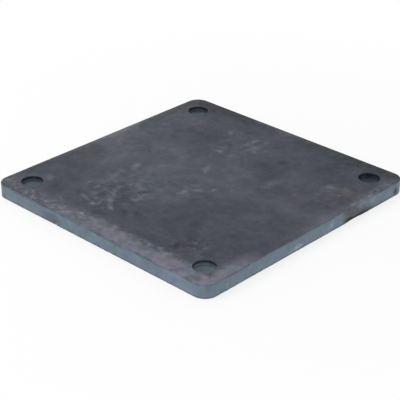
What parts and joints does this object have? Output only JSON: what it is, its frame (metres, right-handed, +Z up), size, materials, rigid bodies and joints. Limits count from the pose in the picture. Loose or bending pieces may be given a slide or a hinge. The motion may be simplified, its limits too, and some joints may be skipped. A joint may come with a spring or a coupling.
{
  "type": "steel plate",
  "caption": "Square steel base plate with rounded corners and a round anchor hole through near each corner, in dark mill scale.",
  "frame": {"origin": "centre of the plate's underside, on the surface that it lies on", "axes": "+Z up through the thickness, X and Y along the plate's straight sides"},
  "size_m": [0.2, 0.2, 0.01],
  "materials": {
    "mill_scale": "matte"
  },
  "bodies": {
    "root": {"plate": "mill_scale"}
  },
  "joints": []
}
